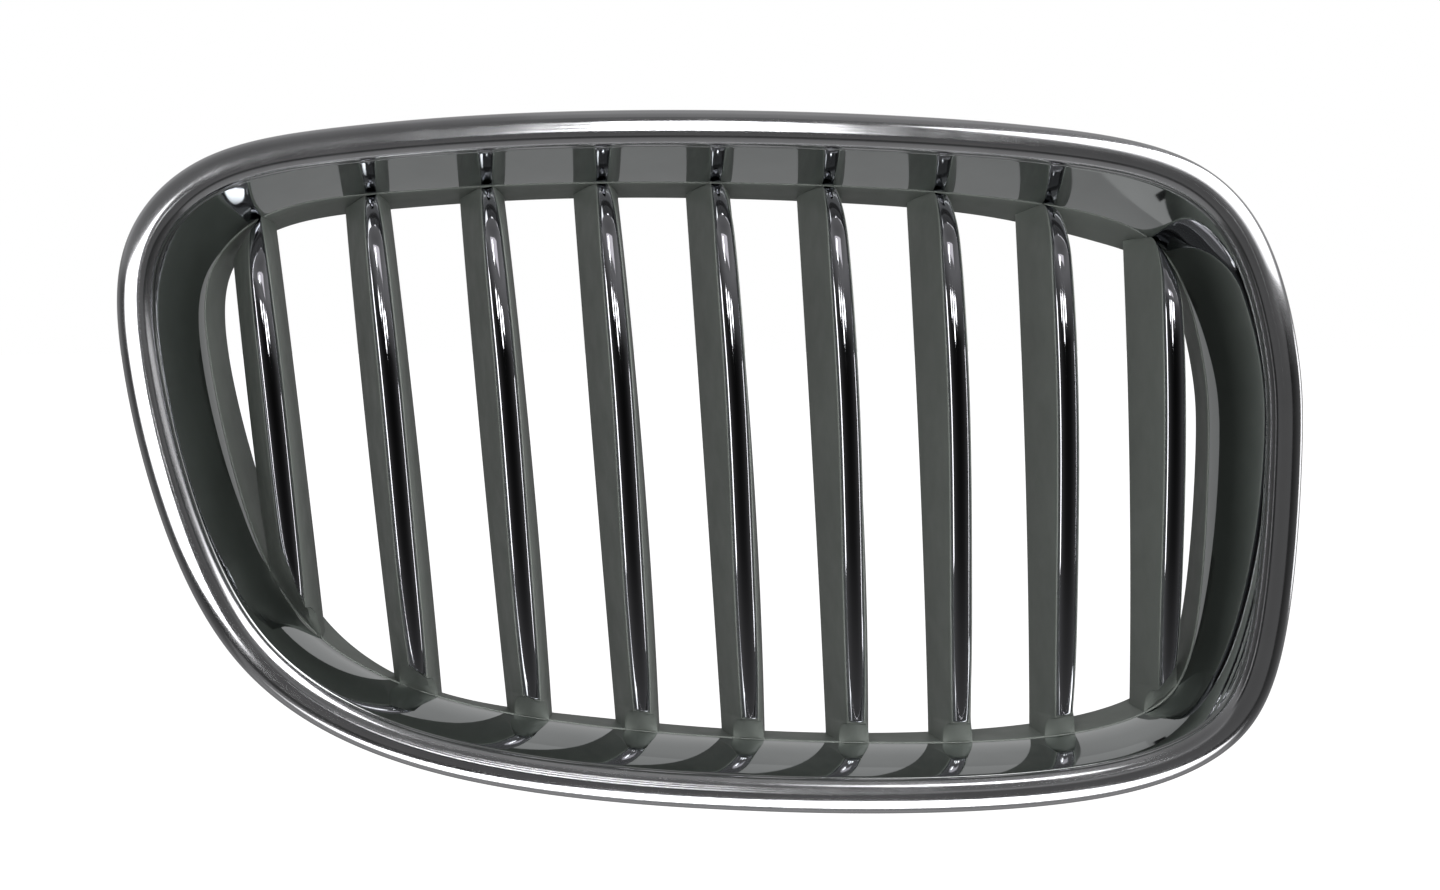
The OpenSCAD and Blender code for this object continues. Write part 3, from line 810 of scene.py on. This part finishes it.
AIM = Vector((-0.0002, -0.040, 0.0059))
AZIMUTH, ELEVATION = math.radians(-5.3), math.radians(4.0)
DISTANCE, LENS = 1.0, 86.84
BACK = Vector((math.sin(AZIMUTH) * math.cos(ELEVATION),
               -math.cos(AZIMUTH) * math.cos(ELEVATION), math.sin(ELEVATION)))
camera_data = bpy.data.cameras.new("camera")
camera_data.sensor_width, camera_data.lens = 36, LENS
camera = bpy.data.objects.new("camera", camera_data)
SCENE.collection.objects.link(camera)
camera.location = AIM + BACK * DISTANCE
camera.rotation_mode = "QUATERNION"
camera.rotation_quaternion = (-BACK).to_track_quat("-Z", "Y")
SCENE.camera = camera


def ramp_of(nt, source, stops):
    """A grey ramp over a value from -1 to 1; stops are (value, grey)."""
    shade = add(nt, "ShaderNodeMapRange")
    shade.inputs["From Min"].default_value = -1
    nt.links.new(source, shade.inputs["Value"])
    ramp = add(nt, "ShaderNodeValToRGB")
    elements = ramp.color_ramp.elements
    while len(elements) < len(stops):
        elements.new(0.5)
    for e, (value, grey) in zip(elements, stops):
        e.position, e.color = (value + 1) / 2, (grey, grey, grey, 1)
    nt.links.new(shade.outputs["Result"], ramp.inputs["Fac"])
    return ramp.outputs["Color"]


# Brightness of the room in reflections, by how far behind or above a ray points
ROOM_DEPTH = [(-1, 0.003), (-0.85, 0.01), (-0.6, 0.03), (0.0, 0.09), (0.5, 0.20), (1, 0.24)]
ROOM_HEIGHT = [(-1, 0.05), (-0.4, 0.005), (0.12, 0.0), (0.28, 0.16), (0.7, 0.10), (1, 0.10)]


def studio():
    """White to the camera; in reflections a room that is dim in front and grey above and behind."""
    world = bpy.data.worlds.new("studio")
    SCENE.world = world
    world.use_nodes = True
    nt = world.node_tree
    seen = nt.nodes["Background"]
    seen.inputs["Color"].default_value = (1, 1, 1, 1)
    room = add(nt, "ShaderNodeBackground")
    split = add(nt, "ShaderNodeSeparateXYZ")
    nt.links.new(add(nt, "ShaderNodeTexCoord").outputs["Generated"], split.inputs["Vector"])
    depth = ramp_of(nt, split.outputs["Y"], ROOM_DEPTH)
    height = ramp_of(nt, split.outputs["Z"], ROOM_HEIGHT)
    total = add(nt, "ShaderNodeMix", data_type="RGBA", blend_type="ADD")
    total.inputs["Factor"].default_value = 1.0
    nt.links.new(depth, total.inputs[6])
    nt.links.new(height, total.inputs[7])
    nt.links.new(total.outputs[2], room.inputs["Color"])
    mix = add(nt, "ShaderNodeMixShader")
    nt.links.new(add(nt, "ShaderNodeLightPath").outputs["Is Camera Ray"], mix.inputs[0])
    nt.links.new(room.outputs[0], mix.inputs[1])
    nt.links.new(seen.outputs[0], mix.inputs[2])
    nt.links.new(mix.outputs[0], nt.nodes["World Output"].inputs["Surface"])


studio()
for k, elevation in enumerate((2, 16, 29)):
    e = math.radians(elevation)
    card(f"rim_front_{k}", (0.075, -0.04 - math.cos(e), 0.10 + math.sin(e)), (-0.012, -0.04, 0.10),
         (0.12, 0.27), 0.07, PLATED, cone=14)
card("ceiling", (0.36, -0.05, 0.80), (0.10, -0.04, 0.10), (0.90, 0.90), 0.05, PLATED)
card("haze_front", (0.0, -1.6, -0.25), (0, 0, 0), (2.6, 1.5), 0.065, PLATED)
card("haze_low", (0.0, -0.2, -1.2), (0, 0, 0), (2.4, 1.6), 0.09, PLATED)
card("left_near", (-0.34, -0.22, 0.0), (-0.26, 0.08, 0.0), (0.34, 0.26), 1.3, PLATED, cone=90)
card("right_high", (0.33, -0.14, 0.22), (0.20, -0.06, 0.0), (0.46, 0.28), 1.2, PLATED, cone=100)
card("right_rear", (0.55, 0.10, -0.02), (0.1, -0.05, 0), (0.16, 0.22), 1.2, PLATED)
card("table", (0.0, -0.060, -0.122), (0.0, -0.030, -0.092), (0.44, 0.024), 0.9, PLATED, cone=80)
card("strip_lens", (-0.06, -0.95, 0.47), (0, -0.03, 0.05), (0.95, 0.17), 0.55, STRIPS,
     tone=(1, 0.96, 1))
card("strip_streak", (-0.24, -0.97, 0.43), (0, -0.03, 0.05), (0.12, 0.13), 4.0, STRIPS)
for x, width, z0, z1 in ((-0.42, 0.13, 0.19, 0.27), (-0.09, 0.10, 0.13, 0.27),
                         (0.22, 0.16, 0.20, 0.27)):
    card("strip_window", (x, -1.0, (z0 + z1) / 2), (x, 0, 0.04), (width, z1 - z0), 4.0, STRIPS)
card("strip_left", (-0.9, -0.15, -0.12), (0, -0.03, 0), (0.22, 0.5), 2.6, STRIPS)
card("strip_right", (0.9, -0.05, -0.15), (0, -0.03, 0), (0.22, 0.5), 2.6, STRIPS)
card("fill_right", (0.9, -0.3, 0.1), (0, 0, 0), (0.8, 0.8), 4.4, MATTE, diffuse=True)
card("fill_left", (-0.8, -0.6, 0.2), (0, 0, 0), (0.8, 0.8), 0.55, MATTE, diffuse=True)
card("fill_low", (0.0, -0.40, -0.8), (0, -0.02, -0.05), (1.2, 0.6), 6.5, MATTE, diffuse=True)
card("fill_front", (0.0, -1.2, 0.25), (0, 0, 0), (1.0, 0.6), 11.0, MATTE, glossy=False, diffuse=True)
SCENE.view_settings.view_transform = "Standard"


FLOOR_SIZE, FLOOR_Z, FLOOR_GLOW = 6000, -230, 0.97


def floor():
    """A white floor that glows just enough to melt into the background."""
    m, nt, b = node_material("floor_white")
    tone = tint(nt, noise(nt, 3), (0.80, 0.80, 0.80), (0.82, 0.82, 0.82))
    nt.links.new(tone, b.inputs["Base Color"])
    b.inputs["Roughness"].default_value = 0.9
    b.inputs["Emission Color"].default_value = (1, 1, 1, 1)
    b.inputs["Emission Strength"].default_value = FLOOR_GLOW
    corners = [[x * FLOOR_SIZE, y * FLOOR_SIZE, FLOOR_Z]
               for x, y in ((-1, -1), (1, -1), (1, 1), (-1, 1))]
    o = make_mesh("floor", corners, [[0, 1, 2, 3]], [m], smooth=False)
    o.visible_glossy = o.visible_diffuse = False
    return o


floor()
